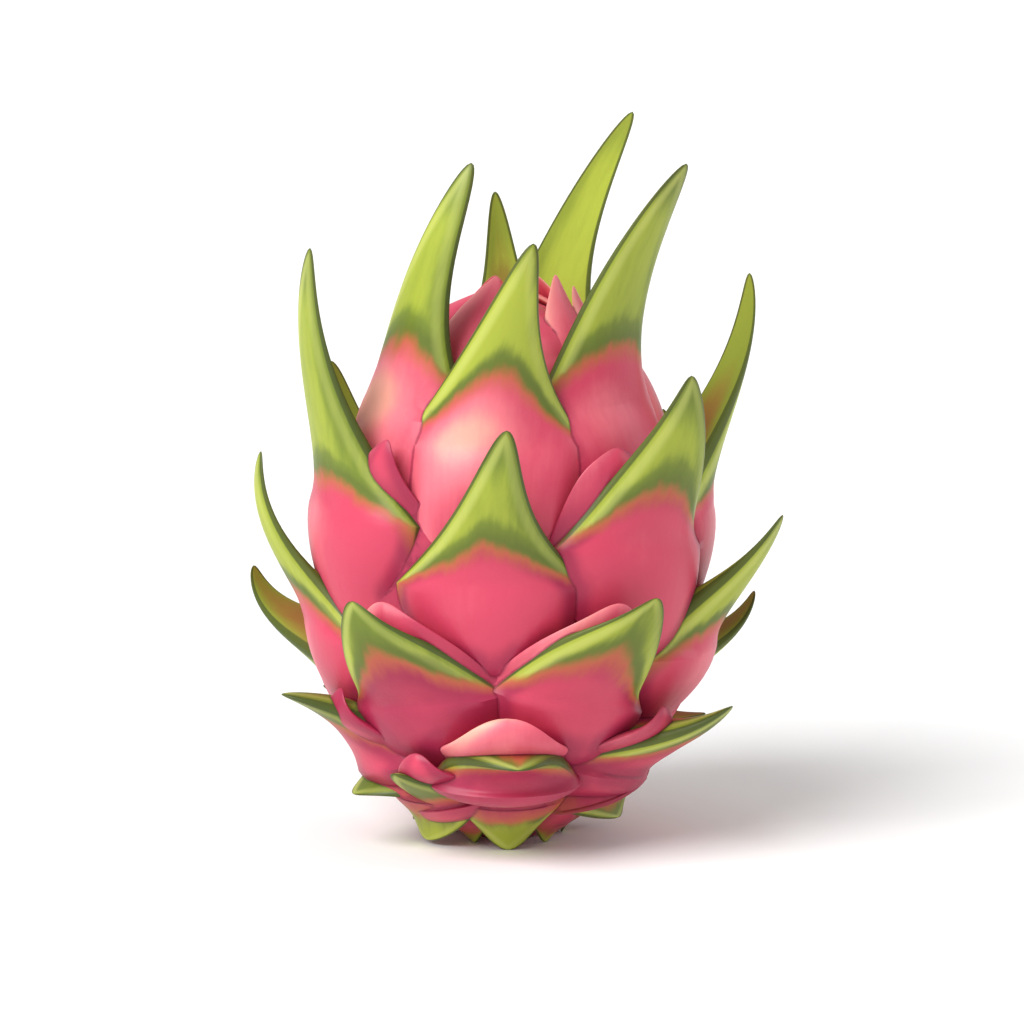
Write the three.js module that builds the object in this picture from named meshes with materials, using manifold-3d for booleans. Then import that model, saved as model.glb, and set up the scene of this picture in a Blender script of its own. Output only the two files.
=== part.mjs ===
// A ripe dragon fruit, standing on the flat scar where it was cut from its stem.
// Millimetres, +Z up. The origin is the middle of the stem scar and +Z runs to the crown.
// The fruit grew as one piece: an egg-shaped body whose skin rises into leathery, leaf-like
// scales. Small ones curl down round the stem, broad ones lap over the belly like tiles, long
// ones stand up as spikes round the crown, and short soft ones close the crown as a bud.
// Azimuth 0 faces -Y, and azimuths run towards +X.
import * as THREE from "three";
import { mergeVertices } from "three/addons/utils/BufferGeometryUtils.js";
import Module from "manifold-3d";

// The body under the scales.
const bodyRadius = 40.5; // at its widest
const widestHeight = 56;
const bodyHeight = 119;
const hiddenPole = 2; // how far below the stem scar the egg's lower end would be
const lowerRound = [2.1, 0.7]; // how the egg closes below its widest, and above it
const upperRound = [1.85, 0.6];
const sunk = 0.6; // depth of a scale's rim under the skin where it lies against the body

// How finely the faceted solids follow the curves.
const bodyFacets = { around: 28, along: 16 };
const scaleFacets = [
  { upToWidth: 21, around: 8, along: 6 },
  { upToWidth: 35, around: 8, along: 8 },
  { upToWidth: 50, around: 10, along: 12 },
];

// A scale starts on the body as a low cushion, is widest at its root height, and leaves the body
// there for its free tip. grows is 1 for scales that point up and -1 for those that point down.
// cushion is the length that lies on the body, and flesh is the bulge there, outside and inside.
// fade is how quickly the inside bulge thins towards the tip. spike is the half thickness near
// the tip, outside and inside, and hollow the channel up its inner face. waist is the share of
// the width that the spike has where it leaves the shoulders, and flare how quickly the shoulders
// run out above the root.
const kinds = {
  stemEnd: {
    grows: -1, cushion: 5, flesh: [2, 2], fade: 2, spike: [1.4, 0.8], hollow: 0.2, waist: 0.8, flare: 2,
  },
  skirt: {
    grows: -1, cushion: 4, flesh: [3, 3], fade: 2, spike: [1.8, 0.9], hollow: 0.3, waist: 0.7, flare: 2,
  },
  belly: {
    grows: 1, cushion: 20, flesh: [4.6, 8], fade: 1.2, spike: [2.2, 0.9], hollow: 0.8, waist: 0.4, flare: 2.2,
  },
  spike: {
    grows: 1, cushion: 26, flesh: [4.6, 7], fade: 2, spike: [2.8, 0.9], hollow: 1.4, waist: 0.36, flare: 3.5,
  },
  bud: {
    grows: 1, cushion: 12, flesh: [2.8, 2.5], fade: 2, spike: [1.8, 0.9], hollow: 0.3, waist: 0.75,
    flare: 1.5,
  },
  lip: {
    grows: 1, cushion: 8, flesh: [1.6, 3], fade: 1, spike: [1.6, 2], hollow: 0, waist: 1, flare: 1,
  },
};

// Each scale: azimuth and height of its root, its width there, then the azimuth, radius and
// height of its tip, the tip's lean from upright, outwards, and the spike's twist by its tip,
// which is positive when its outer face turns towards higher azimuths. A scale with a tilt leans
// towards higher azimuths, its shoulder on that side lower than the other, and one with a bow
// does so only between its root and its tip. A proud root stands that far off the skin. A measure
// that its kind has too takes the place of its kind's.
const scales = [
  // Round the stem.
  { kind: "stemEnd", root: [-38, 6], width: 14, tip: [-38, 11.5, 0], lean: 190 },
  { kind: "stemEnd", root: [44, 6], width: 14, tip: [44, 12, 0], lean: 185 },
  { kind: "stemEnd", root: [98, 6], width: 14, tip: [98, 12, 0], lean: 185 },
  { kind: "stemEnd", root: [152, 6], width: 14, tip: [152, 12, 0], lean: 185 },
  { kind: "stemEnd", root: [207, 6], width: 14, tip: [207, 12, 0], lean: 185 },
  { kind: "stemEnd", root: [262, 6], width: 14, tip: [262, 12, 0], lean: 185 },
  // The skirt, curling down and out.
  { kind: "skirt", root: [-60, 16], width: 26, tip: [-66, 36.4, 12], lean: 115, tilt: 18, proud: 2,
    flesh: [5, 3], waist: 0.9 },
  { kind: "skirt", root: [-49, 13], width: 28, tip: [-58, 20.5, 1], lean: 165, proud: 1, flesh: [4, 3],
    waist: 1.2 },
  { kind: "skirt", root: [0, 13], width: 26, tip: [1, 16.5, 0], lean: 175, proud: 1, flesh: [4, 3],
    waist: 0.9 },
  { kind: "skirt", root: [54, 14], width: 28, tip: [61, 27.6, 6.5], lean: 120, tilt: -18, proud: 2,
    flesh: [5, 3], waist: 0.9 },
  { kind: "skirt", root: [112, 15], width: 26, tip: [112, 24, 3], lean: 145 },
  { kind: "skirt", root: [163, 13], width: 24, tip: [165, 19, 0], lean: 165 },
  { kind: "skirt", root: [212, 18], width: 26, tip: [212, 29, 8], lean: 130 },
  { kind: "skirt", root: [256, 14], width: 22, tip: [256, 21, 2], lean: 160 },
  // Low on the belly, standing out and drooping.
  { kind: "belly", root: [-33, 12], width: 26, tip: [-37.5, 39.6, 20], lean: 55, cushion: 6, tilt: -16,
    proud: 1, waist: 0.8, flesh: [4.5, 9], fade: 0.8, inside: 1 },
  { kind: "belly", root: [120, 14], width: 26, tip: [118, 38, 19], lean: 85, cushion: 7, waist: 0.7 },
  { kind: "belly", root: [184, 14], width: 26, tip: [186, 37, 17], lean: 95, cushion: 7, waist: 0.7 },
  { kind: "belly", root: [-1, 18], width: 34, tip: [3, 46.5, 24], lean: 100, cushion: 6, proud: 6,
    waist: 1, flesh: [4.5, 9], fade: 0.8, inside: 1 },
  { kind: "belly", root: [57, 18], width: 36, tip: [62, 54.7, 33.7], lean: 45, cushion: 9, tilt: 12,
    proud: 1, flesh: [5.5, 10], fade: 0.8, waist: 0.65, inside: 1 },
  { kind: "belly", root: [-65, 19], width: 34, tip: [-66, 53, 35.4], lean: 72, cushion: 9, tilt: -12,
    proud: 1, flesh: [5.5, 10], fade: 0.8, waist: 0.65, inside: 1 },
  { kind: "belly", root: [102, 20], width: 32, tip: [108, 46, 24], lean: 85, cushion: 9 },
  { kind: "belly", root: [143, 22], width: 34, tip: [142, 53, 34], lean: 60, cushion: 10 },
  { kind: "belly", root: [190, 23], width: 34, tip: [190, 53, 36], lean: 55, cushion: 10 },
  { kind: "belly", root: [236, 21], width: 34, tip: [238, 48, 28], lean: 80, cushion: 9 },
  // Round the middle.
  { kind: "belly", root: [-32, 35.5], width: 41, tip: [-37, 54.2, 60], lean: 5, waist: 0.7, tilt: -10,
    bow: -18 },
  { kind: "belly", root: [24, 36], width: 38, tip: [35, 54.9, 61], lean: 10, waist: 0.8, tilt: 12,
    bow: 20 },
  { kind: "belly", root: [78, 44], width: 42, tip: [82, 60.2, 72.4], lean: 25, twist: -20,
    flesh: [7, 8] },
  { kind: "belly", root: [112, 31], width: 38, tip: [112, 59, 50], lean: 20 },
  { kind: "belly", root: [160, 38], width: 40, tip: [159, 57, 62], lean: 15 },
  { kind: "belly", root: [212, 36], width: 40, tip: [214, 56, 58], lean: 15 },
  { kind: "belly", root: [252, 35], width: 36, tip: [250, 59.5, 56], lean: 12, twist: -25 },
  { kind: "belly", root: [-5, 62], width: 43, tip: [0, 54, 98.3], lean: 5, waist: 0.47 },
  { kind: "spike", root: [47, 68], width: 46, tip: [45.4, 54.7, 107.5], lean: 8, waist: 0.52,
    flare: 2.5, tilt: 6, bow: 18, proud: 1.5 },
  { kind: "spike", root: [-78, 48], width: 40, tip: [-80, 53.8, 86.5], lean: -10, twist: 15 },
  { kind: "spike", root: [137, 56], width: 42, tip: [138, 52, 88], lean: 5 },
  { kind: "spike", root: [187, 60], width: 42, tip: [190, 55, 99], lean: 5 },
  { kind: "spike", root: [228, 58], width: 42, tip: [226, 55, 99], lean: 5, waist: 0.75 },
  // The long spikes of the crown.
  { kind: "spike", root: [-64, 74], width: 46, tip: [-58, 49.2, 133], lean: -4, waist: 0.46,
    flesh: [6.5, 7], spike: [1.6, 0.9] },
  { kind: "spike", root: [97, 72], width: 44, tip: [105, 54.8, 122], lean: 3, twist: 30, flesh: [7, 6],
    spike: [2, 0.9] },
  { kind: "spike", root: [160, 78], width: 42, tip: [160, 45, 128], lean: 5 },
  { kind: "spike", root: [208, 78], width: 42, tip: [200, 46, 120], lean: 5 },
  { kind: "spike", root: [258, 78], width: 40, tip: [264, 40, 104], lean: -15 },
  { kind: "spike", root: [-6, 90], width: 44, tip: [8.5, 38, 135.5], lean: 5, waist: 0.42, flare: 2 },
  { kind: "spike", root: [50, 96], width: 40, tip: [60, 44, 150.5], lean: 30, twist: -12, waist: 0.64 },
  { kind: "spike", root: [-52, 96], width: 39, tip: [-20, 22, 150.5], lean: -18, waist: 0.49 },
  { kind: "spike", root: [102, 102], width: 26, tip: [98, 24, 126], lean: 5 },
  { kind: "spike", root: [160, 99], width: 36, tip: [143, 46, 154.7], lean: 25, twist: 10, waist: 0.47 },
  { kind: "spike", root: [181, 104], width: 26, tip: [186, 25, 138.5], lean: 5, waist: 0.44 },
  { kind: "spike", root: [232, 98], width: 28, tip: [222, 21, 117], lean: 0 },
  // Soft lips that swell behind the green rims of the front scales.
  { kind: "lip", root: [-29, 14], width: 24, tip: [-30, 38.5, 25], lean: -20, tilt: -18 },
  { kind: "lip", root: [-1, 22], width: 32, tip: [0, 45, 35], lean: -30, waist: 1.5, flesh: [3, 3] },
  { kind: "lip", root: [-29, 37], width: 36, tip: [-34, 47, 59], lean: -20, tilt: -10, bow: -12 },
  { kind: "lip", root: [22, 38], width: 37, tip: [30, 47, 59], lean: -20, tilt: 10, bow: 12 },
  { kind: "lip", root: [35, 68], width: 32, tip: [36, 39.6, 91], lean: -30, bow: 20, flesh: [1, 3] },
  { kind: "lip", root: [-59, 21], width: 28, tip: [-58, 42, 37], lean: -30 },
  { kind: "lip", root: [46, 22], width: 28, tip: [51, 43, 34], lean: -30 },
  { kind: "lip", root: [-46, 75], width: 28, tip: [-40, 39.6, 92.5], lean: -20, flesh: [0.8, 3] },
  // The bud that closes the crown.
  { kind: "bud", root: [-28, 104], width: 26, tip: [-15, 9, 124.4], lean: -40 },
  { kind: "bud", root: [45, 106], width: 20, tip: [60, 12, 124.4], lean: -15 },
  { kind: "bud", root: [82, 104], width: 24, tip: [80, 14.5, 121.5], lean: -10 },
  { kind: "bud", root: [135, 106], width: 24, tip: [135, 9, 122.5], lean: -35 },
  { kind: "bud", root: [195, 105], width: 24, tip: [195, 10, 122], lean: -35 },
  { kind: "bud", root: [262, 104], width: 22, tip: [268, 8, 118], lean: -40 },
  { kind: "bud", root: [20, 107], width: 26, tip: [20, 2, 122.5], lean: -60 },
  { kind: "bud", root: [145, 107], width: 28, tip: [145, 1, 122], lean: -60 },
  { kind: "bud", root: [265, 107], width: 28, tip: [265, 1, 121.5], lean: -60 },
];

const rootShare = 1 / 3; // the share of a scale's rows that lie on the body
const rowGather = 1.5; // above 1 the rows of the free tip gather towards its point
const handles = [0.25, 0.45]; // how far the tip's curve keeps its first and its last direction
const spikeTaper = 0.5; // a half makes the point round rather than sharp
const innermostWrap = 14; // a scale nearer the axis than this curls round no tighter
const steepestBow = 27 / 4; // makes left times free squared 1 where it is greatest

const finest = 0.08; // detail smaller than this, left where scales meet, is smoothed away

const wasm = await Module();
wasm.setup();

const radians = THREE.MathUtils.degToRad;

// The body's radius at a height, and the upward direction of its side there, both in the plane of
// radius and height.
function bodyRadiusAt(height) {
  if (height < widestHeight) {
    const down = Math.min(1, (widestHeight - height) / (widestHeight + hiddenPole));
    return bodyRadius * (1 - down ** lowerRound[0]) ** lowerRound[1];
  }
  const up = Math.min(1, (height - widestHeight) / (bodyHeight - widestHeight));
  return bodyRadius * (1 - up ** upperRound[0]) ** upperRound[1];
}

function bodySlopeAt(height) {
  const step = 0.5;
  const rise = bodyRadiusAt(height + step) - bodyRadiusAt(height - step);
  return new THREE.Vector2(rise, 2 * step).normalize();
}

// The middle line of a scale, as a point and a direction in the plane of radius and height.
function middleLine(scale, along, free) {
  const [, rootHeight] = scale.root;
  const [, tipRadius, tipHeight] = scale.tip;
  if (along < rootShare) {
    const height = rootHeight - scale.grows * scale.cushion * (1 - along / rootShare);
    const slope = bodySlopeAt(height).multiplyScalar(scale.grows);
    return { point: new THREE.Vector2(bodyRadiusAt(height) - sunk, height), slope };
  }
  const start = new THREE.Vector2(bodyRadiusAt(rootHeight) - sunk, rootHeight);
  const end = new THREE.Vector2(tipRadius, tipHeight);
  const reach = start.distanceTo(end);
  const upright = new THREE.Vector2(0, 1);
  const off = bodySlopeAt(rootHeight).add(upright).setLength(handles[0] * reach * scale.grows);
  const lean = radians(scale.lean);
  const back = new THREE.Vector2(-Math.sin(lean), -Math.cos(lean)).setLength(handles[1] * reach);
  const curve = new THREE.CubicBezierCurve(start, start.clone().add(off), end.clone().add(back), end);
  return { point: curve.getPoint(free), slope: curve.getTangent(free) };
}

// A point of a scale's surface. along runs from the cushion's lower end, 0, to the tip, 1, and
// around runs once round the section, with its outer face between 0 and half a turn.
function scalePoint(scale, along, around) {
  const left = (1 - Math.max(0, (along - rootShare) / (1 - rootShare))) ** rowGather;
  const free = 1 - left;
  const { point, slope } = middleLine(scale, along, free);
  const risen = Math.min(1, along / rootShare); // up the cushion
  const rounded = Math.sqrt(1 - (1 - risen) ** 2);
  point.x += scale.proud * rounded * left;
  const shoulders = scale.waist * left ** spikeTaper + (1 - scale.waist) * left ** scale.flare;
  const half = (scale.width / 2) * rounded * shoulders;

  const flesh = left * left * (3 - 2 * left); // swells the root and is gone at the tip
  const thin = Math.sqrt(left) * rounded;
  const outer = (scale.flesh[0] - scale.spike[0]) * flesh * Math.sin((Math.PI / 2) * risen) ** 2;
  const inner = (scale.flesh[1] - scale.spike[1]) * left ** scale.fade * rounded;
  const side = Math.sin(around);
  const across = half * Math.cos(around);
  const melt = 1 + 2 * (1 - risen); // the cushion's edges melt into the skin lower down
  const away =
    side > 0
      ? (outer + scale.spike[0] * thin) * side ** melt
      : (inner + scale.spike[1] * thin) * side + scale.hollow * Math.sin(Math.PI * free) * side * side;

  const twist = radians(scale.twist) * free;
  const sideways = across * Math.cos(twist) + away * Math.sin(twist);
  const outwards = away * Math.cos(twist) - across * Math.sin(twist);
  const normal = new THREE.Vector2(slope.y, -slope.x).multiplyScalar(scale.grows);
  const bowed = Math.tan(radians(scale.bow)) * steepestBow * free * free;
  const lift = -sideways * left * (Math.tan(radians(scale.tilt)) + bowed);
  const follow = bodyRadiusAt(point.y + lift) - bodyRadiusAt(point.y);
  const radius = point.x + normal.x * outwards + follow;
  const height = point.y + normal.y * outwards + lift;
  const turn = radians(scale.root[0] + (scale.tip[0] - scale.root[0]) * free * free);
  const azimuth = turn + sideways / Math.max(point.x, innermostWrap);
  return new THREE.Vector3(radius * Math.sin(azimuth), -radius * Math.cos(azimuth), height);
}

// A closed geometry as a solid of manifold-3d, for joining and cutting.
function solidOf(geometry) {
  geometry.deleteAttribute("normal");
  geometry.deleteAttribute("uv");
  const merged = mergeVertices(geometry, 1e-4);
  const mesh = new wasm.Mesh({
    numProp: 3,
    vertProperties: merged.attributes.position.array,
    triVerts: new Uint32Array(merged.index.array),
  });
  return new wasm.Manifold(mesh);
}

// A round blank, bent point by point into one scale.
function scaleSolid(measures) {
  const scale = { twist: 0, tilt: 0, bow: 0, proud: 0, ...kinds[measures.kind], ...measures };
  const facets = scaleFacets.find((choice) => scale.width <= choice.upToWidth);
  const blank = new THREE.SphereGeometry(1, facets.around, facets.along);
  const { position, uv } = blank.attributes;
  for (let i = 0; i < position.count; i += 1) {
    const around = -2 * Math.PI * scale.grows * uv.getX(i); // the way round that faces outwards
    const spot = scalePoint(scale, uv.getY(i), around);
    position.setXYZ(i, spot.x, spot.y, spot.z);
  }
  return solidOf(blank);
}

function bodySolid() {
  const profile = [new THREE.Vector2(0, 0)];
  for (let i = 0; i < bodyFacets.along; i += 1) {
    const height = (bodyHeight * (1 - Math.cos((Math.PI * i) / bodyFacets.along))) / 2;
    profile.push(new THREE.Vector2(bodyRadiusAt(height), height));
  }
  profile.push(new THREE.Vector2(0, bodyHeight));
  return solidOf(new THREE.LatheGeometry(profile, bodyFacets.around).rotateX(Math.PI / 2));
}

// What would reach below the surface that the fruit stands on.
function belowGround() {
  const size = 300;
  return solidOf(new THREE.BoxGeometry(size, size, size).translate(0, 0, -size / 2));
}

// Flesh fills any pocket that the scales close off between them: only the outermost surface stays.
function withoutPockets(solid) {
  const surfaces = solid.decompose();
  return surfaces.reduce((outermost, surface) => {
    return surface.volume() > outermost.volume() ? surface : outermost;
  });
}

function fruitGeometry() {
  let fruit = bodySolid();
  for (const scale of scales) fruit = fruit.add(scaleSolid(scale));
  fruit = withoutPockets(fruit.subtract(belowGround()).simplify(finest));
  const { vertProperties, triVerts } = fruit.getMesh();
  const geometry = new THREE.BufferGeometry();
  geometry.setAttribute("position", new THREE.BufferAttribute(vertProperties, 3));
  geometry.setIndex(new THREE.BufferAttribute(triVerts, 1));
  geometry.computeVertexNormals();
  return geometry;
}

const skin = new THREE.MeshStandardMaterial({ color: 0xdc5470, roughness: 0.45, metalness: 0 });
const fruit = new THREE.Mesh(fruitGeometry(), skin);
fruit.name = "dragon_fruit";

const part = new THREE.Group();
part.add(fruit);

export default part;
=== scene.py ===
import math

import bpy
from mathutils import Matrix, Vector


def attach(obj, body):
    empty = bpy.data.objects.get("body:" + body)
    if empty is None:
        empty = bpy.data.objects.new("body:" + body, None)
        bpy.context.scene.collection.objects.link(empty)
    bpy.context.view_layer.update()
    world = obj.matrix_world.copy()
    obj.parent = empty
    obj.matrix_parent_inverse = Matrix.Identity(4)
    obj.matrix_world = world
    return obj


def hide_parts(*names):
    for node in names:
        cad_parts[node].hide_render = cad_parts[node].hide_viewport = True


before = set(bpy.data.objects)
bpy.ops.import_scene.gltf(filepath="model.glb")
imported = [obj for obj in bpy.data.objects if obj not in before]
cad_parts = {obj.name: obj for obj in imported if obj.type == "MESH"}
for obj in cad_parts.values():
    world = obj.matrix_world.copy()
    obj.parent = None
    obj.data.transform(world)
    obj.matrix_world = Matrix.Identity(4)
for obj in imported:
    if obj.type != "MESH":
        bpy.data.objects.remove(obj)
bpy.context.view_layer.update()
print("frame loaded")


# A wire is one output socket, so that node maths reads as plain arithmetic.
class Wire:
    def __init__(self, board, socket):
        self.board = board
        self.socket = socket

    def __add__(self, other):
        return self.board.maths("ADD", self, other)

    def __radd__(self, other):
        return self.board.maths("ADD", other, self)

    def __sub__(self, other):
        return self.board.maths("SUBTRACT", self, other)

    def __rsub__(self, other):
        return self.board.maths("SUBTRACT", other, self)

    def __mul__(self, other):
        return self.board.maths("MULTIPLY", self, other)

    def __rmul__(self, other):
        return self.board.maths("MULTIPLY", other, self)

    def __truediv__(self, other):
        return self.board.maths("DIVIDE", self, other)

    def __rtruediv__(self, other):
        return self.board.maths("DIVIDE", other, self)

    def __pow__(self, other):
        return self.board.maths("POWER", self, other)

    def __neg__(self):
        return self.board.maths("MULTIPLY", self, -1)

    def __abs__(self):
        return self.board.maths("ABSOLUTE", self)

    def __lt__(self, other):
        return self.board.maths("LESS_THAN", self, other)

    def __gt__(self, other):
        return self.board.maths("GREATER_THAN", self, other)


# A board lays nodes in one tree.
class Board:
    def __init__(self, tree):
        self.tree = tree

    def add(self, kind, settings=None, values=None, output=0):
        node = self.tree.nodes.new(kind)
        for name, value in (settings or {}).items():
            setattr(node, name, value)
        for name, value in (values or {}).items():
            for one in value if isinstance(value, list) else [value]:  # a list of wires shares one socket
                if isinstance(one, Wire):
                    self.tree.links.new(one.socket, node.inputs[name])
                else:
                    node.inputs[name].default_value = one
        return Wire(self, node.outputs[output])

    def end(self, kind, name, wire):
        self.tree.links.new(wire.socket, self.tree.nodes.new(kind).inputs[name])

    def maths(self, operation, *values):
        return self.add("ShaderNodeMath", {"operation": operation}, dict(enumerate(values)))

    def lesser(self, one, other):
        return self.maths("MINIMUM", one, other)

    def greater(self, one, other):
        return self.maths("MAXIMUM", one, other)

    def hypot(self, one, other):
        return self.maths("SQRT", one * one + other * other)

    def ramp(self, value, start, end, low=0, high=1, kind="SMOOTHSTEP"):
        return self.add(
            "ShaderNodeMapRange",
            {"interpolation_type": kind},
            {"Value": value, "From Min": start, "From Max": end, "To Min": low, "To Max": high},
        )

    def point(self, x, y, z):
        return self.add("ShaderNodeCombineXYZ", None, {"X": x, "Y": y, "Z": z})

    def parts(self, vector):
        node = self.add("ShaderNodeSeparateXYZ", None, {"Vector": vector}).socket.node
        return [Wire(self, socket) for socket in node.outputs]


# The ripe fruit's body and how every scale grows from it, in millimetres.
fruit = {
    "Body radius": 40.5,
    "Widest height": 56,
    "Body height": 119,
    "Hidden pole": 2,  # how far the body runs under the ground, to be cut flat
    "Lower round": 2.1,
    "Lower fullness": 0.7,
    "Upper round": 1.85,
    "Upper fullness": 0.6,
    "Slope step": 0.5,
    "Sunk": 0.6,  # how deep a root sits in the skin
    "Pole width": 0.0001,  # nearer the axis than this, a point has no direction
    "Root share": 1 / 3,  # how much of a scale is the cushion that lies on the body
    "Lifts from": 0.75,  # where in that share a scale starts to leave the body
    "Lifts by": 1.1,
    "Row gather": 1.5,  # above 1, a scale's rows of faces draw together at its tip
    "Root handle": 0.25,  # how far the curve holds its direction, in shares of the scale's reach
    "Tip handle": 0.45,
    "Spike taper": 0.5,
    "Innermost wrap": 14,  # no scale bends round anything slimmer
    "Body sides": 120,
    "Body rings": 90,
    "Scale sides": 48,
    "Scale rings": 42,
    "Arch": 2.2,  # the power of the green's arch
    "Arch blend": 3,
    "Rim gain": 2,  # how sharply a green rim begins
    "Rim end": 2,  # how softly it runs out
    "Rim drop": 20,
    "Pillow": 0.3,
    "Pillow rise": 7,
    "Ground size": 200,
    "Ground depth": 20,
    "Crease bend": math.radians(24),  # folds sharper than this are creases
    "Sharp bend": math.radians(38),  # edges sharper than this are not smoothed
}
millimetre = 0.001

# Each kind of scale: which way it grows, the length of the cushion under its root, its flesh outside and
# inside and how fast the inside melts away, its spike's thickness outside and inside, how hollow its inner
# face is, and its waist and flare.
kindMeasures = ("grows", "cushion", "flesh", "fade", "spike", "hollow", "waist", "flare")
kinds = {
    "stemEnd": (-1, 5, (2, 2), 2, (1.4, 0.8), 0.2, 0.8, 2),
    "skirt": (-1, 4, (3, 3), 2, (1.8, 0.9), 0.3, 0.7, 2),
    "belly": (1, 20, (4.6, 8), 1.2, (2.2, 0.9), 0.8, 0.4, 2.2),
    "spike": (1, 26, (4.6, 7), 2, (2.8, 0.9), 1.4, 0.36, 3.5),
    "bud": (1, 12, (2.8, 2.5), 2, (1.8, 0.9), 0.3, 0.75, 1.5),
    "lip": (1, 8, (1.6, 3), 1, (1.6, 2), 0, 1, 1),
}

# Each kind's look, in millimetres from its root along the scale: where its middle turns green and where its
# green edges fade out, how wide those edges are, how pale its pink is and how strong its painted highlight
# is, how bright its green is, and 1 where its inner face is coloured like the outer.
lookMeasures = ("green", "tail", "edge", "pale", "lime", "inside")
looks = {
    "stemEnd": (4, 1, 1, 0.1, 1.8, 0),
    "skirt": (4, 0, 1.5, 0, 0.6, 0),
    "belly": (12, -3, 2.5, 0, 0, 0),
    "spike": (13, -3, 2.5, 0, 0, 0),
    "bud": (90, 90, 0, 0.45, 0, 1),
    "lip": (90, 90, 0, -0.1, 0, 1),
}

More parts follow.
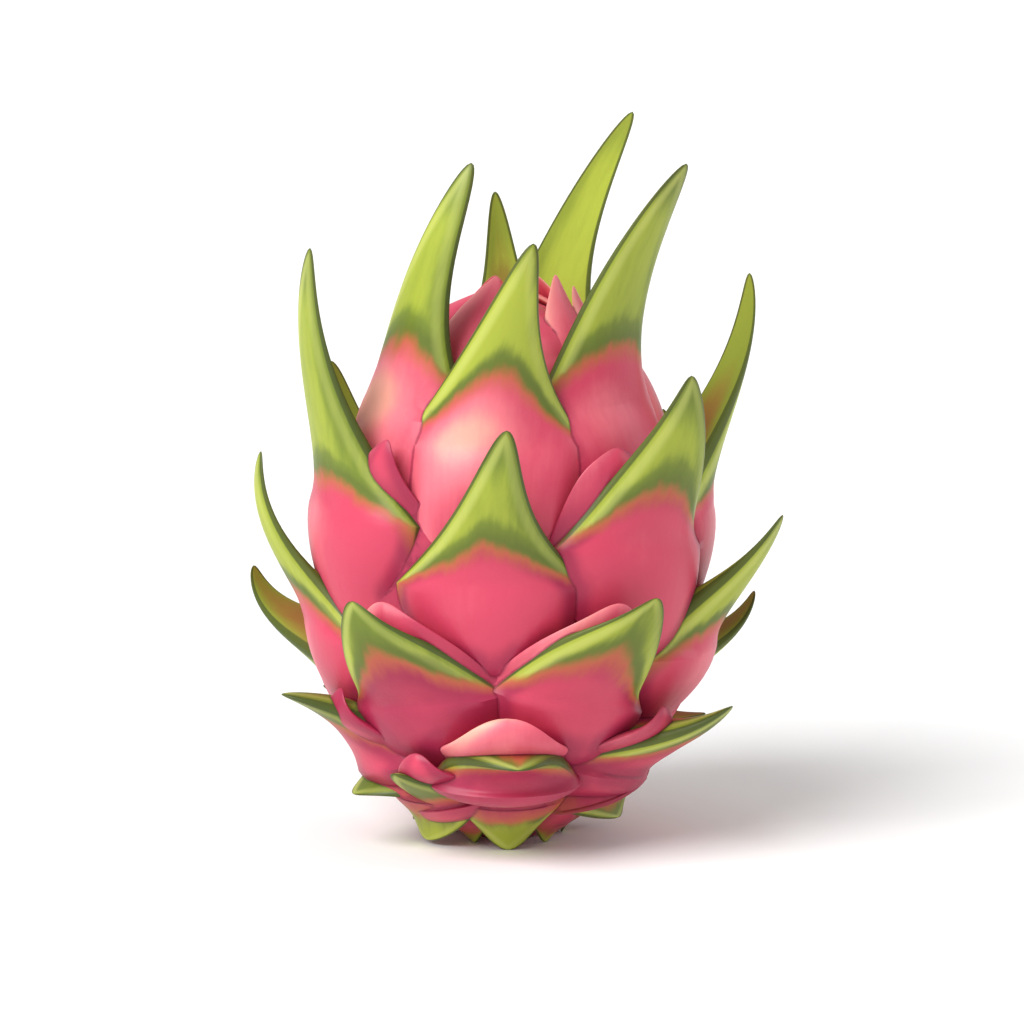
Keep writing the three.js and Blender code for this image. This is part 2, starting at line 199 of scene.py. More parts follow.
# Each scale: its kind, root (azimuth, height), width, tip (azimuth, radius, height), the tip's lean, and
# what is its own. Azimuths and angles are in degrees, and azimuth 0 is the front.
scales = [
    # Round the stem.
    ("stemEnd", (-38, 6), 14, (-38, 11.5, 0), 190),
    ("stemEnd", (44, 6), 14, (44, 12, 0), 185),
    ("stemEnd", (98, 6), 14, (98, 12, 0), 185),
    ("stemEnd", (152, 6), 14, (152, 12, 0), 185),
    ("stemEnd", (207, 6), 14, (207, 12, 0), 185),
    ("stemEnd", (262, 6), 14, (262, 12, 0), 185),
    # The skirt, curling down and out.
    ("skirt", (-60, 16), 26, (-66, 36.4, 12), 115, {"tilt": 18, "proud": 2, "flesh": (5, 3), "waist": 0.9}),
    ("skirt", (-49, 13), 28, (-58, 20.5, 1), 165, {"proud": 1, "flesh": (4, 3), "waist": 1.2, "lime": 1.5}),
    ("skirt", (0, 13), 26, (1, 16.5, 0), 175, {"proud": 1, "flesh": (4, 3), "waist": 0.9, "lime": 1.5}),
    ("skirt", (54, 14), 28, (61, 27.6, 6.5), 120, {"tilt": -18, "proud": 2, "flesh": (5, 3), "waist": 0.9}),
    ("skirt", (112, 15), 26, (112, 24, 3), 145),
    ("skirt", (163, 13), 24, (165, 19, 0), 165),
    ("skirt", (212, 18), 26, (212, 29, 8), 130),
    ("skirt", (256, 14), 22, (256, 21, 2), 160),
    # Low on the belly, standing out and drooping.
    ("belly", (-33, 12), 26, (-37.5, 39.6, 20), 55,
        {"cushion": 6, "tilt": -16, "proud": 1, "waist": 0.8, "flesh": (4.5, 9), "fade": 0.8, "green": 8,
         "tail": 0, "inside": 1}),
    ("belly", (120, 14), 26, (118, 38, 19), 85, {"cushion": 7, "waist": 0.7}),
    ("belly", (184, 14), 26, (186, 37, 17), 95, {"cushion": 7, "waist": 0.7}),
    ("belly", (-1, 18), 34, (3, 46.5, 24), 100,
        {"cushion": 6, "proud": 6, "waist": 1, "flesh": (4.5, 9), "fade": 0.8, "green": 17, "tail": 6,
         "edge": 1.5, "pale": -0.8, "inside": 1}),
    ("belly", (57, 18), 36, (62, 54.7, 33.7), 45,
        {"cushion": 9, "tilt": 12, "proud": 1, "flesh": (5.5, 10), "fade": 0.8, "waist": 0.65, "green": 21.5,
         "tail": 5, "edge": 2.2, "pale": -0.4, "inside": 1}),
    ("belly", (-65, 19), 34, (-66, 53, 35.4), 72,
        {"cushion": 9, "tilt": -12, "proud": 1, "flesh": (5.5, 10), "fade": 0.8, "waist": 0.65,
         "green": 19.5, "tail": 5, "edge": 2.2, "pale": -0.4, "inside": 1}),
    ("belly", (102, 20), 32, (108, 46, 24), 85, {"cushion": 9}),
    ("belly", (143, 22), 34, (142, 53, 34), 60, {"cushion": 10}),
    ("belly", (190, 23), 34, (190, 53, 36), 55, {"cushion": 10}),
    ("belly", (236, 21), 34, (238, 48, 28), 80, {"cushion": 9}),
    # Round the middle.
    ("belly", (-32, 35.5), 41, (-37, 54.2, 60), 5,
        {"waist": 0.7, "tilt": -10, "bow": -18, "pale": -0.9, "lime": 0.2, "green": 19, "tail": 2,
         "edge": 1.6}),
    ("belly", (24, 36), 38, (35, 54.9, 61), 10,
        {"waist": 0.8, "tilt": 12, "bow": 20, "pale": -0.5, "lime": 0.6, "green": 19, "tail": 2,
         "edge": 1.6}),
    ("belly", (78, 44), 42, (82, 60.2, 72.4), 25, {"twist": -20, "flesh": (7, 8), "lime": 0.5}),
    ("belly", (112, 31), 38, (112, 59, 50), 20),
    ("belly", (160, 38), 40, (159, 57, 62), 15),
    ("belly", (212, 36), 40, (214, 56, 58), 15),
    ("belly", (252, 35), 36, (250, 59.5, 56), 12, {"twist": -25}),
    ("belly", (-5, 62), 43, (0, 54, 98.3), 5, {"waist": 0.47, "green": 15, "pale": -0.35}),
    ("spike", (47, 68), 46, (45.4, 54.7, 107.5), 8,
        {"waist": 0.52, "flare": 2.5, "tilt": 6, "bow": 18, "proud": 1.5, "green": 20, "tail": 2,
         "pale": -0.35}),
    ("spike", (-78, 48), 40, (-80, 53.8, 86.5), -10, {"twist": 15, "lime": 0.6}),
    ("spike", (137, 56), 42, (138, 52, 88), 5),
    ("spike", (187, 60), 42, (190, 55, 99), 5),
    ("spike", (228, 58), 42, (226, 55, 99), 5, {"waist": 0.75}),
    # The long spikes of the crown.
    ("spike", (-64, 74), 46, (-58, 49.2, 133), -4, {"waist": 0.46, "flesh": (6.5, 7), "spike": (1.6, 0.9)}),
    ("spike", (97, 72), 44, (105, 54.8, 122), 3,
        {"twist": 30, "flesh": (7, 6), "spike": (2, 0.9), "lime": -0.2}),
    ("spike", (160, 78), 42, (160, 45, 128), 5),
    ("spike", (208, 78), 42, (200, 46, 120), 5),
    ("spike", (258, 78), 40, (264, 40, 104), -15),
    ("spike", (-6, 90), 44, (8.5, 38, 135.5), 5,
        {"waist": 0.42, "flare": 2, "green": 22, "tail": -2, "pale": 0.55, "lime": 0.6}),
    ("spike", (50, 96), 40, (60, 44, 150.5), 30,
        {"twist": -12, "waist": 0.64, "green": 19, "tail": 8, "pale": -0.05}),
    ("spike", (-52, 96), 39, (-20, 22, 150.5), -18, {"waist": 0.49, "green": 19, "tail": 8, "pale": 0.7}),
    ("spike", (102, 102), 26, (98, 24, 126), 5),
    ("spike", (160, 99), 36, (143, 46, 154.7), 25, {"twist": 10, "waist": 0.47, "lime": 0.6}),
    ("spike", (181, 104), 26, (186, 25, 138.5), 5, {"waist": 0.44, "lime": 0.3}),
    ("spike", (232, 98), 28, (222, 21, 117), 0),
    # Soft lips that swell behind the green rims of the front scales.
    ("lip", (-29, 14), 24, (-30, 38.5, 25), -20, {"tilt": -18}),
    ("lip", (-1, 22), 32, (0, 45, 35), -30, {"waist": 1.5, "flesh": (3, 3), "pale": 0.9}),
    ("lip", (-29, 37), 36, (-34, 47, 59), -20, {"tilt": -10, "bow": -12, "pale": 0.4}),
    ("lip", (22, 38), 37, (30, 47, 59), -20, {"tilt": 10, "bow": 12, "pale": 0.4}),
    ("lip", (35, 68), 32, (36, 39.6, 91), -30, {"bow": 20, "flesh": (1, 3)}),
    ("lip", (-59, 21), 28, (-58, 42, 37), -30, {"waist": 0.5}),
    ("lip", (46, 22), 28, (51, 43, 34), -30, {"waist": 0.5}),
    ("lip", (-46, 75), 28, (-40, 39.6, 92.5), -20, {"waist": 0.4, "flesh": (0.8, 3)}),
    # The bud that closes the crown.
    ("bud", (-28, 104), 26, (-15, 9, 124.4), -40),
    ("bud", (45, 106), 20, (60, 12, 124.4), -15),
    ("bud", (82, 104), 24, (80, 14.5, 121.5), -10),
    ("bud", (135, 106), 24, (135, 9, 122.5), -35),
    ("bud", (195, 105), 24, (195, 10, 122), -35),
    ("bud", (262, 104), 22, (268, 8, 118), -40, {"proud": 0.6}),
    ("bud", (20, 107), 26, (20, 2, 122.5), -60),
    ("bud", (145, 107), 28, (145, 1, 122), -60),
    ("bud", (265, 107), 28, (265, 1, 121.5), -60),
]


def scaleSeeds():
    rows = []
    for number, (kind, root, width, tip, lean, *own) in enumerate(scales):
        row = dict(zip(kindMeasures, kinds[kind]))
        row.update(zip(lookMeasures, looks[kind]))
        row.update({"twist": 0, "tilt": 0, "bow": 0, "proud": 0})
        row.update(own[0] if own else {})
        row["outerFlesh"], row["innerFlesh"] = row.pop("flesh")
        row["outerSpike"], row["innerSpike"] = row.pop("spike")
        row.update(number=number + 1, width=width, lean=lean, rootAzimuth=root[0], rootHeight=root[1])
        row.update(tipAzimuth=tip[0], tipRadius=tip[1], tipHeight=tip[2])
        rows.append(row)
    mesh = bpy.data.meshes.new("scaleSeeds")
    mesh.from_pydata([(0, 0, 0)] * len(rows), [], [])
    for name in rows[0]:
        values = [float(row[name]) for row in rows]
        mesh.attributes.new(name, "FLOAT", "POINT").data.foreach_set("value", values)
    seeds = bpy.data.objects.new("dragonFruit", mesh)
    bpy.context.scene.collection.objects.link(seeds)
    return seeds


def growthTree(inputs):
    tree = bpy.data.node_groups.new("growDragonFruit", "GeometryNodeTree")
    tree.interface.new_socket("Geometry", in_out="INPUT", socket_type="NodeSocketGeometry")
    tree.interface.new_socket("Geometry", in_out="OUTPUT", socket_type="NodeSocketGeometry")
    for name, value in inputs.items():
        kind = "NodeSocketInt" if name.endswith(("sides", "rings")) else "NodeSocketFloat"
        if isinstance(value, bpy.types.Material):
            kind = "NodeSocketMaterial"
        tree.interface.new_socket(name, in_out="INPUT", socket_type=kind)
    board = Board(tree)
    group = tree.nodes.new("NodeGroupInput")
    size = {socket.name: Wire(board, socket) for socket in group.outputs if socket.name}

    def read(name):
        return board.add("GeometryNodeInputNamedAttribute", {"data_type": "FLOAT"}, {"Name": name})

    def store(geometry, name, value, domain):
        settings = {"data_type": "FLOAT", "domain": domain}
        values = {"Geometry": geometry, "Name": name, "Value": value}
        return board.add("GeometryNodeStoreNamedAttribute", settings, values)

    def move(geometry, position):
        return board.add("GeometryNodeSetPosition", None, {"Geometry": geometry, "Position": position})

    def mix(share, start, end):
        return start + (end - start) * share

    def bodyRadiusAt(height):
        down = (size["Widest height"] - height) / (size["Widest height"] + size["Hidden pole"])
        up = (height - size["Widest height"]) / (size["Body height"] - size["Widest height"])
        down = board.lesser(board.greater(down, 0), 1)
        up = board.lesser(board.greater(up, 0), 1)
        lower = (1 - down ** size["Lower round"]) ** size["Lower fullness"]
        upper = (1 - up ** size["Upper round"]) ** size["Upper fullness"]
        return size["Body radius"] * lower * upper

    def bodySlopeAt(height):
        step = size["Slope step"]
        widening = bodyRadiusAt(height + step) - bodyRadiusAt(height - step)
        length = board.hypot(widening, 2 * step)
        return widening / length, 2 * step / length

    at = board.add("GeometryNodeInputPosition")
    x, y, z = board.parts(at)
    across = board.hypot(x, y)
    isPole = across < size["Pole width"]
    cosAround = x / (across + isPole)
    sinAround = y / (across + isPole)

    # The body: a sphere drawn out to the fruit's outline.
    sphere = {"Segments": size["Body sides"], "Rings": size["Body rings"], "Radius": 1}
    body = board.add("GeometryNodeMeshUVSphere", None, sphere)
    height = (size["Body height"] + size["Hidden pole"]) * (z + 1) / 2 - size["Hidden pole"]
    radius = bodyRadiusAt(height)
    body = move(body, board.point(radius * cosAround, radius * sinAround, height))

    # One round blank for every scale.
    sphere = {"Segments": size["Scale sides"], "Rings": size["Scale rings"], "Radius": 1}
    blank = board.add("GeometryNodeMeshUVSphere", None, sphere)
    blank = store(blank, "along", 1 - board.maths("ARCCOSINE", z) / math.pi, "POINT")
    blank = store(blank, "cosAround", cosAround, "POINT")
    blank = store(blank, "sinAround", sinAround, "POINT")
    seeds = board.add("GeometryNodeMeshToPoints", None, {"Mesh": Wire(board, group.outputs["Geometry"])})
    grown = board.add("GeometryNodeInstanceOnPoints", None, {"Points": seeds, "Instance": blank})
    grown = board.add("GeometryNodeRealizeInstances", None, {"Geometry": grown})

    # How far along the scale, from its cushion to its tip.
    along = read("along")
    rootShare = size["Root share"]
    beyond = board.greater((along - rootShare) / (1 - rootShare), 0)
    left = (1 - beyond) ** size["Row gather"]
    free = 1 - left
    risen = board.lesser(along / rootShare, 1)
    rounded = board.maths("SQRT", 1 - (1 - risen) * (1 - risen))

    # The middle line: up the body under the cushion, then out along a curve to the tip.
    grows = read("grows")
    rootHeight = read("rootHeight")
    lowHeight = rootHeight - grows * read("cushion") * (1 - risen)
    startRadius = bodyRadiusAt(rootHeight) - size["Sunk"]
    tipRadius = read("tipRadius")
    tipHeight = read("tipHeight")
    reach = board.hypot(tipRadius - startRadius, tipHeight - rootHeight)
    slopeRadius, slopeHeight = bodySlopeAt(rootHeight)
    offLength = size["Root handle"] * reach * grows / board.hypot(slopeRadius, slopeHeight + 1)
    lean = board.maths("RADIANS", read("lean"))
    backLength = size["Tip handle"] * reach
    nearRadius = startRadius + slopeRadius * offLength
    nearHeight = rootHeight + (slopeHeight + 1) * offLength
    farRadius = tipRadius - board.maths("SINE", lean) * backLength
    farHeight = tipHeight - board.maths("COSINE", lean) * backLength

    def curve(a, b, c, d):
        return left**3 * a + 3 * left * left * free * b + 3 * left * free * free * c + free**3 * d

    def heading(a, b, c, d):
        return left * left * (b - a) + 2 * left * free * (c - b) + free * free * (d - c)

    lineRadius = curve(startRadius, nearRadius, farRadius, tipRadius) - startRadius
    lineRadius = lineRadius + bodyRadiusAt(lowHeight) - size["Sunk"] + read("proud") * rounded * left
    lineHeight = curve(rootHeight, nearHeight, farHeight, tipHeight) - rootHeight + lowHeight
    outRadius = heading(startRadius, nearRadius, farRadius, tipRadius)
    outHeight = heading(rootHeight, nearHeight, farHeight, tipHeight)
    outLength = board.hypot(outRadius, outHeight)
    lowRadius, lowRise = bodySlopeAt(lowHeight)
    lifted = board.ramp(along, rootShare * size["Lifts from"], rootShare * size["Lifts by"])
    headRadius = mix(lifted, lowRadius * grows, outRadius / outLength)
    headHeight = mix(lifted, lowRise * grows, outHeight / outLength)
    headLength = board.hypot(headRadius, headHeight)
    headRadius = headRadius / headLength
    headHeight = headHeight / headLength

    # The outline and the thickness on either side of it.
    shoulders = mix(read("waist"), left ** read("flare"), left ** size["Spike taper"])
    half = read("width") / 2 * rounded * shoulders
    side = -read("sinAround") * grows
    spread = read("cosAround")
    flesh = left * left * (3 - 2 * left)
    thin = board.maths("SQRT", left) * rounded
    swell = board.maths("SINE", risen * math.pi / 2)
    outer = (read("outerFlesh") - read("outerSpike")) * flesh * swell * swell + read("outerSpike") * thin
    inner = (read("innerFlesh") - read("innerSpike")) * left ** read("fade") * rounded
    inner = inner + read("innerSpike") * thin
    hollow = read("hollow") * board.maths("SINE", free * math.pi) * side * side
    isOuter = side > 0
    away = isOuter * outer * abs(side) ** (3 - 2 * risen)
    away = away + (1 - isOuter) * (inner * side + hollow)

    # The green covers the spike in an arch and runs down both rims; the pink below it swells like a pillow.
    run = free * reach - (1 - risen) * read("cushion")
    toRim = half * (1 - abs(spread))
    above = run - mix(abs(spread) ** size["Arch"], read("green"), read("tail"))
    rim = read("edge") * board.ramp(run, read("tail"), read("green"), kind="LINEAR") - toRim
    rimEnd = board.ramp(run, read("tail") + size["Rim end"], read("tail") - size["Rim end"])
    rim = rim * size["Rim gain"] - rimEnd * size["Rim drop"]
    blending = {0: above, 1: rim, 2: size["Arch blend"]}
    green = board.add("ShaderNodeMath", {"operation": "SMOOTH_MAX"}, blending)
    swelling = board.ramp(green, 0, -size["Pillow rise"]) * board.ramp(toRim, 0, size["Pillow rise"])
    away = away + isOuter * size["Pillow"] * swelling * board.ramp(run, -read("cushion"), 0)

    # Twist it, tilt it and wrap it round the body; 27 / 4 brings the bow's highest point up to 1.
    twist = board.maths("RADIANS", read("twist")) * free
    sine = board.maths("SINE", twist)
    cosine = board.maths("COSINE", twist)
    sideways = half * spread * cosine + away * sine
    outwards = away * cosine - half * spread * sine
    tilt = board.maths("TANGENT", board.maths("RADIANS", read("tilt")))
    bow = board.maths("TANGENT", board.maths("RADIANS", read("bow")))
    lift = -sideways * left * (tilt + bow * 27 / 4 * free * free)
    follow = bodyRadiusAt(lineHeight + lift) - bodyRadiusAt(lineHeight)
    radius = lineRadius + headHeight * grows * outwards + follow
    height = lineHeight - headRadius * grows * outwards + lift
    turn = read("rootAzimuth") + (read("tipAzimuth") - read("rootAzimuth")) * free * free
    turn = board.maths("RADIANS", turn) + sideways / board.greater(lineRadius, size["Innermost wrap"])

    # What the skin will need to know at each place.
    traits = {"run": run, "greenDepth": green, "spread": spread, "half": half, "side": side}
    traits["toTip"] = left * reach
    for name, value in traits.items():
        grown = store(grown, name, value, "CORNER")
    for name in ("number", "pale", "lime", "inside"):
        grown = store(grown, name, read(name), "FACE")
    grown = store(grown, "isScale", 1, "FACE")
    turned = board.point(radius * board.maths("SINE", turn), -radius * board.maths("COSINE", turn), height)
    grown = move(grown, turned)

    # Fuse them, and flatten what rests on the ground.
    splitting = {"Geometry": grown, "Group ID": read("number")}
    apart = board.add("GeometryNodeSplitToInstances", {"domain": "FACE"}, splitting)
    fusing = {"operation": "UNION", "solver": "MANIFOLD"}
    fused = board.add("GeometryNodeMeshBoolean", fusing, {"Mesh 2": [body, apart]})
    groundSize = board.point(size["Ground size"], size["Ground size"], size["Ground depth"])
    ground = board.add("GeometryNodeMeshCube", None, {"Size": groundSize})
    ground = move(ground, board.point(x, y, z - size["Ground depth"] / 2))
    cutting = {"operation": "DIFFERENCE", "solver": "MANIFOLD"}
    fused = board.add("GeometryNodeMeshBoolean", cutting, {"Mesh 1": fused, "Mesh 2": ground})

    # Where scales meet, every point knows how far the crease is.
    bend = board.add("GeometryNodeInputMeshEdgeAngle", output=1)
    creasing = {"Geometry": fused, "Selection": bend < -size["Crease bend"]}
    creases = board.add("GeometryNodeSeparateGeometry", {"domain": "EDGE"}, creasing)
    toCrease = board.add("GeometryNodeProximity", {"target_element": "EDGES"}, {0: creases}, output=1)
    fused = store(fused, "toCrease", toCrease, "POINT")

    # Smooth, but for the sharpest edges.
    fused = board.add("GeometryNodeSetShadeSmooth", None, {"Geometry": fused, "Shade Smooth": True})
    isSharp = board.add("GeometryNodeInputMeshEdgeAngle") > size["Sharp bend"]
    sharpening = {"Geometry": fused, "Selection": isSharp, "Shade Smooth": False}
    fused = board.add("GeometryNodeSetShadeSmooth", {"domain": "EDGE"}, sharpening)

    inMetres = board.add("ShaderNodeVectorMath", {"operation": "SCALE"}, {"Vector": at, "Scale": millimetre})
    fused = move(fused, inMetres)
    fused = board.add("GeometryNodeRealizeInstances", None, {"Geometry": fused})
    fused = board.add("GeometryNodeSetMaterial", None, {"Geometry": fused, "Material": size["Skin"]})
    board.end("NodeGroupOutput", "Geometry", fused)
    return tree


# From a screen's colour code to the linear colour that shaders take.
def tint(code):
    levels = [int(code[at : at + 2], 16) / 255 for at in (1, 3, 5)]
    return tuple(v / 12.92 if v <= 0.04045 else ((v + 0.055) / 1.055) ** 2.4 for v in levels)


# The skin, waxy and leathery. A band is where it starts and where it ends, in millimetres unless its note
# says otherwise, and a band of four also has its strength at each end.
peel = {
    # Its colours.
    "deepPink": tint("#a3294b"),
    "pink": tint("#cd425e"),
    "palePink": tint("#ec7a86"),
    # The peach of the painted highlight.
    "peachHighlight": tint("#fbae9b"),
    "orange": tint("#bb6240"),
    "olive": tint("#606f25"),
    "green": tint("#7c8e2c"),
    "lime": tint("#a3af39"),
    # The pale green of the painted highlight inside the green rims.
    "ridgeHighlight": tint("#cdd473"),
    "darkGreen": tint("#3d4a1b"),
    "darkPink": tint("#82193a"),
    "innerBrown": tint("#8f602c"),
    "innerGreen": tint("#84922f"),
    "scarBrown": tint("#9a8450"),
    # Streaks: how fine they are across and along a scale, how far two scales differ, and their detail.
    "fibre": (0.5, 0.09, 7, 4),
    "wander": (0.16, 0.06, 3, 3),
    "streakRoughness": 0.6,
    # Mottling: how fine it is, by the metre, and its detail.
    "patch": (70, 4),
    "pore": (900, 2),
    # Where the pink is deep with painted shade: in creases, just under the green, near rims, on one side of
    # each scale and low down. The bare body counts as clear of any rim.
    "creaseShade": (0, 6, 0.4, 1),
    "underGreenShade": (-2, 9, 0.5, 1),
    "rimShade": (0, 5, 0.4, 1),
    "bareBody": 9,
    "sideShade": (0.1, 0.9, 0, 0.2),  # in half widths
    "lowShade": (0.05, 0.005, 0, 0.15),  # by height, in metres
    "mottled": 0.5,
    "streaked": 0.3,
    "deepPull": 0.8,
    "pinkFrom": (0, 0.7),  # by how light it is, as are the next two
    "palePinkFrom": (0.1, 1),
    "peachHighlightFrom": (0.8, 1.6),
    # The painted highlight on each swelling, and the painted highlight along the rims of scales that never
    # turn green.
    "highlightSpotAside": 5,
    "highlightSpotBelow": 16,
    "highlightSpotSquash": 0.8,
    "highlightSpot": (14, 1),
    "highlightSpotLight": 0.7,
    "neverGreen": (-35, -45),
    "rimHighlight": (4, 0.8),
    "ownPale": (0, 1, 0.7, 1),  # by whether it never turns green
    # Where the green starts, through orange, in a ragged line.
    "raggedness": 8,
    "raggedFibre": 0.4,
    "raggedRim": (0.5, 4, 0.35, 1),
    "turnsOrange": (-5.5, 1.65),
    "turnsGreen": (-0.825, 3.85),
    # How bright the green is: olive where it starts, partly its own colour and partly painted shade, and
    # dimmed by painted shade on one side.
    "intoGreen": (2, 11),
    "intoGreenWander": 6,
    "brightRim": (3, 1.2),
    "greenSideShade": (0.25, 0.75, 0, 0.4),  # in half widths
    "brightTip": (1, 12, 0.4, 1),
    "greenFibre": 0.35,
    "limePull": 0.6,
    "limeFibre": 0.6,
    "limeFrom": (0.5, 1.2),  # by how bright it is
    # The painted highlight just inside each green rim, stronger on one side.
    "ridgeInner": (3.6, 2),
    "ridgeOuter": (0.7, 1.5),
    "ridgeStart": (0.5, 3),
    "ridgeFibre": 3,
    "ridgeSide": (-0.4, 0.7, 0.42, 0.22),  # in half widths
    # Inner faces.
    "innerEdge": (0.04, -0.04),  # by side, 1 on the outer face and -1 on the inner
    "innerTurn": (2, 24),
    "innerTurnLime": 20,
    "innerTurnFibre": 8,
    "innerLimeFrom": (1, 1.8),  # by how bright it is
    "innerStart": (-14, -6),
    # Thin dark lines along rims, and in creases, where the line is partly an outline and partly painted
    # shadow; and how dark they are.
    "rimLine": (0.7, 0.4),
    "rimDark": 0.85,
    "creaseLine": (0.56, 0.14),
    "creaseWaver": 0.3,
    "creaseDark": 0.6,
    # The scar underneath, by height and by radius, in metres.
    "scarHeight": (0.0006, 0.0002),
    "scarRadius": (0.0078, 0.0062),
    # Relief and roughness.
    "reliefFibre": 0.5,
    "reliefPore": 0.25,
    "reliefPatch": 0.25,
    "reliefHeight": 0.0006,  # in metres
    "reliefStrength": 0.25,
    "roughness": 0.44,
    "patchRoughness": 0.12,
    "greenRoughness": 0.06,
    "innerRoughness": 0.3,
    "coat": 0.12,
}


def peelSkin():
    material = bpy.data.materials.new("waxyPeel")
    material.use_nodes = True
    material.node_tree.nodes.clear()
    board = Board(material.node_tree)

    def read(name):
        return board.add("ShaderNodeAttribute", {"attribute_name": name}, output=2)

    def band(name, value):
        return board.ramp(value, *peel[name])

    def mix(share, one, other):
        values = {0: share, 6: (*one, 1) if isinstance(one, tuple) else one}
        values[7] = (*other, 1) if isinstance(other, tuple) else other
        return board.add("ShaderNodeMix", {"data_type": "RGBA"}, values, output=2)

    def noise(vector, scale, detail, roughness=0.5):
        values = {"Vector": vector, "Scale": scale, "Detail": detail, "Roughness": roughness}
        return board.add("ShaderNodeTexNoise", None, values) - 0.5

    def streaks(across, along, apart, detail):
        place = board.point(spread * half * across, run * along, read("number") * apart)
        return noise(place, 1, detail, peel["streakRoughness"])

    at = board.add("ShaderNodeTexCoord", output=3)
    x, y, z = board.parts(at)
    isScale = read("isScale")
    run = read("run")
    half = read("half")
    spread = read("spread")
    toTip = read("toTip")
    toCrease = read("toCrease")
    greenDepth = read("greenDepth")
    paleness = read("pale")
    limeness = read("lime")
    toRim = half * (1 - abs(spread))
    isInner = band("innerEdge", read("side")) * isScale * (1 - read("inside"))

    # Fibres run along each scale, so the streaks are long.
    fibre = streaks(*peel["fibre"])
    wander = streaks(*peel["wander"])
    patch = noise(at, *peel["patch"])
    pore = noise(at, *peel["pore"])

    # Pink, deeper with painted shade low down, on one side of each scale, in creases, near rims and just
    # under the green; paler with a painted highlight where each scale swells most and along the rims of
    # scales that never turn green.
    unshaded = band("creaseShade", toCrease) * band("underGreenShade", -greenDepth)
    unshaded = unshaded * band("rimShade", toRim + (1 - isScale) * peel["bareBody"])
    # Painted shade on one side of each scale and low down.
    shaded = band("sideShade", spread) + band("lowShade", z)
    lightness = unshaded + paleness * peel["deepPull"] - shaded + patch * peel["mottled"]
    pink = mix(band("pinkFrom", lightness), peel["deepPink"], peel["pink"])
    # A painted highlight on each swelling, and along the rims of scales that never turn green.
    aside = spread * half + peel["highlightSpotAside"]
    below = (greenDepth + peel["highlightSpotBelow"]) * peel["highlightSpotSquash"]
    isSoft = band("neverGreen", greenDepth)
    pale = band("highlightSpot", board.hypot(aside, below)) * (paleness + 1) * peel["highlightSpotLight"]
    pale = pale + band("rimHighlight", toRim) * isSoft + paleness * band("ownPale", isSoft)
    pale = pale + patch * peel["mottled"] + fibre * peel["streaked"] - shaded
    pink = mix(band("palePinkFrom", pale) * isScale, pink, peel["palePink"])
    pink = mix(band("peachHighlightFrom", pale) * isScale, pink, peel["peachHighlight"])

    # Green, olive where it starts, partly its own colour and partly painted shade; brighter along the edges,
    # with painted shade on one side and a painted highlight just inside each rim.
    ragged = (wander + fibre * peel["raggedFibre"]) * peel["raggedness"] * band("raggedRim", toRim)
    isGreen = band("turnsGreen", greenDepth + ragged) * isScale
    isTurning = band("turnsOrange", greenDepth + ragged) * isScale
    bright = band("intoGreen", greenDepth + wander * peel["intoGreenWander"])
    # Painted shade on one side of the green.
    bright = board.greater(bright, band("brightRim", toRim)) - band("greenSideShade", spread)
    bright = bright * band("brightTip", toTip)
    green = mix(bright + fibre * peel["greenFibre"], peel["olive"], peel["green"])
    limed = bright + limeness * peel["limePull"] + fibre * peel["limeFibre"]
    green = mix(band("limeFrom", limed), green, peel["lime"])
    # A painted highlight just inside each green rim, stronger on one side.
    ridge = band("ridgeInner", toRim) * band("ridgeOuter", toRim)
    ridge = ridge * band("ridgeStart", greenDepth + fibre * peel["ridgeFibre"])
    green = mix(ridge * band("ridgeSide", spread), green, peel["ridgeHighlight"])

    # Inner faces turn from brown to green, and to lime at the brightest.
    innerDepth = greenDepth + limeness * peel["innerTurnLime"] + fibre * peel["innerTurnFibre"]
    inner = mix(band("innerTurn", innerDepth), peel["innerBrown"], peel["innerGreen"])
    inner = mix(band("innerLimeFrom", limeness + bright + fibre * peel["limeFibre"]), inner, peel["lime"])
    colour = mix(isTurning, pink, peel["orange"])
    colour = mix(isGreen, colour, green)
    colour = mix(isInner * band("innerStart", greenDepth), colour, inner)

    # Thin dark lines along rims, and in creases, where the line is partly an outline and partly painted
    # shadow.
    rimLine = band("rimLine", toRim) * isTurning
    colour = mix(rimLine * peel["rimDark"], colour, peel["darkGreen"])
    creaseLine = band("creaseLine", toCrease + pore * peel["creaseWaver"])
    creaseColour = mix(isGreen, peel["darkPink"], peel["darkGreen"])
    colour = mix(creaseLine * peel["creaseDark"], colour, creaseColour)

    # Underneath, the scar where the stem came away.
    isScar = band("scarHeight", z) * band("scarRadius", board.hypot(x, y))
    colour = mix(isScar, colour, peel["scarBrown"])

    relief = fibre * peel["reliefFibre"] + pore * peel["reliefPore"] + patch * peel["reliefPatch"]
    lumps = {"Strength": peel["reliefStrength"], "Distance": peel["reliefHeight"], "Height": relief}
    roughness = peel["roughness"] + patch * peel["patchRoughness"]
    roughness = roughness + isTurning * peel["greenRoughness"] + isInner * peel["innerRoughness"]
    skin = {
        "Base Color": colour,
        "Roughness": roughness,
        "Normal": board.add("ShaderNodeBump", None, lumps),
        "Coat Weight": peel["coat"] * (1 - isInner),
        "Coat Roughness": 0.25,
        "Specular IOR Level": 0.3,
        "Subsurface Weight": 0.08,
        "Subsurface Radius": (0.004, 0.0015, 0.001),
        "Subsurface Scale": 1.0,
    }
    surface = board.add("ShaderNodeBsdfPrincipled", None, skin)
    board.end("ShaderNodeOutputMaterial", "Surface", surface)
    return material


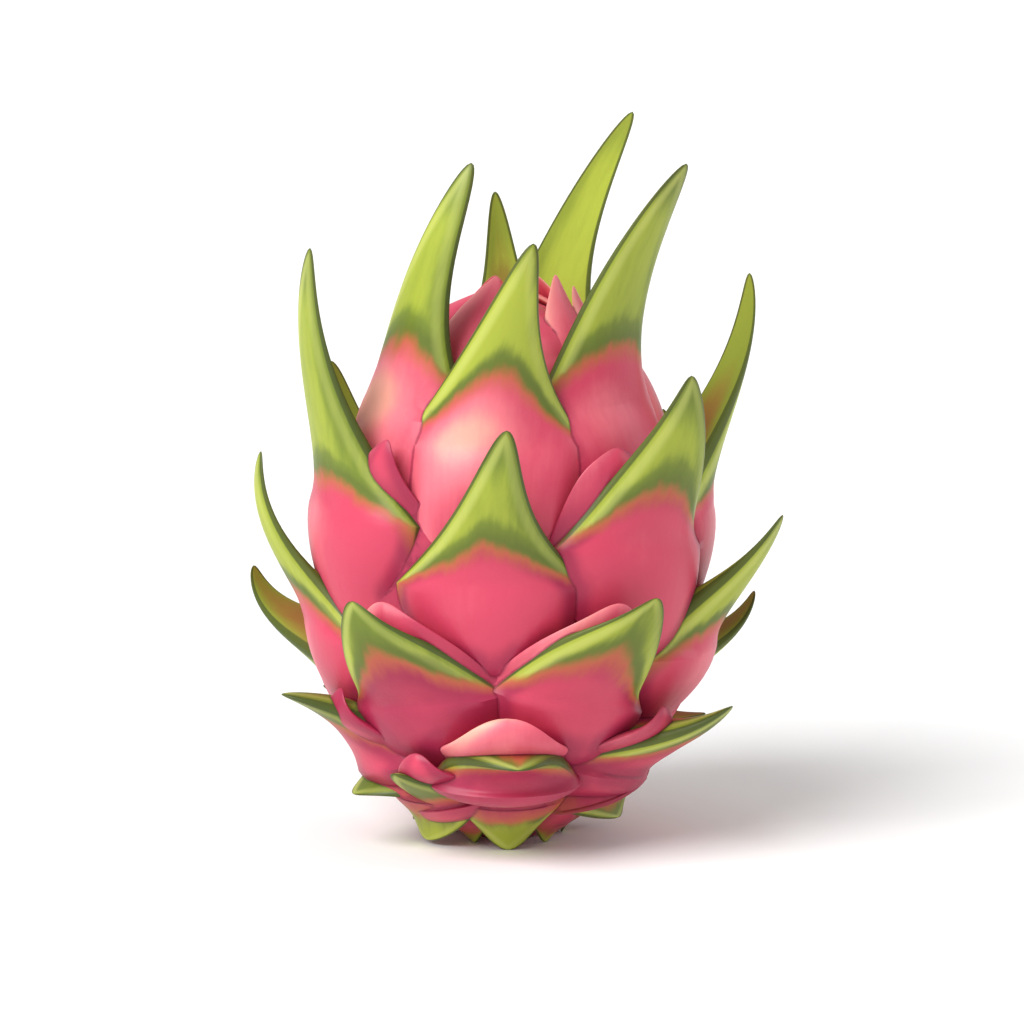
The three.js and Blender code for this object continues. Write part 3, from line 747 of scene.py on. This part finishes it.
def growFruit():
    inputs = {**fruit, "Skin": peelSkin()}
    grown = scaleSeeds()
    tree = growthTree(inputs)
    modifier = grown.modifiers.new("grow", "NODES")
    modifier.node_group = tree
    for socket in tree.interface.items_tree:
        if socket.in_out == "INPUT" and socket.name in inputs:
            modifier[socket.identifier] = inputs[socket.name]
    graph = bpy.context.evaluated_depsgraph_get()
    mesh = bpy.data.meshes.new_from_object(grown.evaluated_get(graph))
    kept = "isScale number run greenDepth spread half side toTip toCrease pale lime inside".split()
    for name in [one.name for one in mesh.attributes if one.data_type == "FLOAT"]:
        if name not in kept:
            mesh.attributes.remove(mesh.attributes[name])
    grown.modifiers.clear()
    grown.data = mesh
    mesh.name = "dragonFruit"
    return grown


dragonFruit = growFruit()
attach(dragonFruit, "root")
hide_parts("dragon_fruit")
print("fruit grown,", len(dragonFruit.data.polygons), "faces")

# The pale floor, the soft light and the camera, in metres and degrees.
studio = {
    "floorSize": 40,
    "floorColour": (0.95, 0.95, 0.95, 1),
    "floorRoughness": 0.9,
    "floorShine": 0.1,
    "skyColour": (1, 1, 1, 1),
    "skyStrength": 0.55,
    "keyFrom": (-0.75, -0.7, 0.95),
    "keySoftness": 40,
    "keyStrength": 3.1,
    "edgeFrom": (0.9, 0.25, 0.4),
    "edgeSoftness": 30,
    "edgeStrength": 0.5,
    "aim": (0.0011, 0, 0.0715),
    "cameraDistance": 1.5,
    "cameraElevation": 10,
    "lens": 242.6,  # in millimetres
}


def lightUp(name, towards, softness, strength):
    lamp = bpy.data.lights.new(name, "SUN")
    lamp.angle = math.radians(softness)
    lamp.energy = strength
    light = bpy.data.objects.new(name, lamp)
    light.rotation_euler = Vector(towards).to_track_quat("Z", "Y").to_euler()
    bpy.context.scene.collection.objects.link(light)


def setLights():
    world = bpy.data.worlds.new("paleStudio")
    world.use_nodes = True
    world.node_tree.nodes.clear()
    board = Board(world.node_tree)
    sky = {"Color": studio["skyColour"], "Strength": studio["skyStrength"]}
    board.end("ShaderNodeOutputWorld", "Surface", board.add("ShaderNodeBackground", None, sky))
    bpy.context.scene.world = world
    lightUp("key", studio["keyFrom"], studio["keySoftness"], studio["keyStrength"])
    lightUp("edge", studio["edgeFrom"], studio["edgeSoftness"], studio["edgeStrength"])


def layFloor():
    half = studio["floorSize"] / 2
    mesh = bpy.data.meshes.new("floor")
    corners = [(-half, -half, 0), (half, -half, 0), (half, half, 0), (-half, half, 0)]
    mesh.from_pydata(corners, [], [(0, 1, 2, 3)])
    floor = bpy.data.objects.new("floor", mesh)
    bpy.context.scene.collection.objects.link(floor)
    paint = bpy.data.materials.new("paleFloor")
    paint.use_nodes = True
    paint.node_tree.nodes.clear()
    board = Board(paint.node_tree)
    matt = {
        "Base Color": studio["floorColour"],
        "Roughness": studio["floorRoughness"],
        "Specular IOR Level": studio["floorShine"],
    }
    board.end("ShaderNodeOutputMaterial", "Surface", board.add("ShaderNodeBsdfPrincipled", None, matt))
    mesh.materials.append(paint)


def setCamera():
    lens = bpy.data.cameras.new("camera")
    lens.lens = studio["lens"]
    camera = bpy.data.objects.new("camera", lens)
    up = math.radians(studio["cameraElevation"])
    back = Vector((0, -math.cos(up), math.sin(up)))
    camera.location = Vector(studio["aim"]) + back * studio["cameraDistance"]
    camera.rotation_euler = (-back).to_track_quat("-Z", "Y").to_euler()
    bpy.context.scene.collection.objects.link(camera)
    bpy.context.scene.camera = camera
    bpy.context.scene.view_settings.view_transform = "Standard"


setLights()
layFloor()
setCamera()
print("studio and camera set")
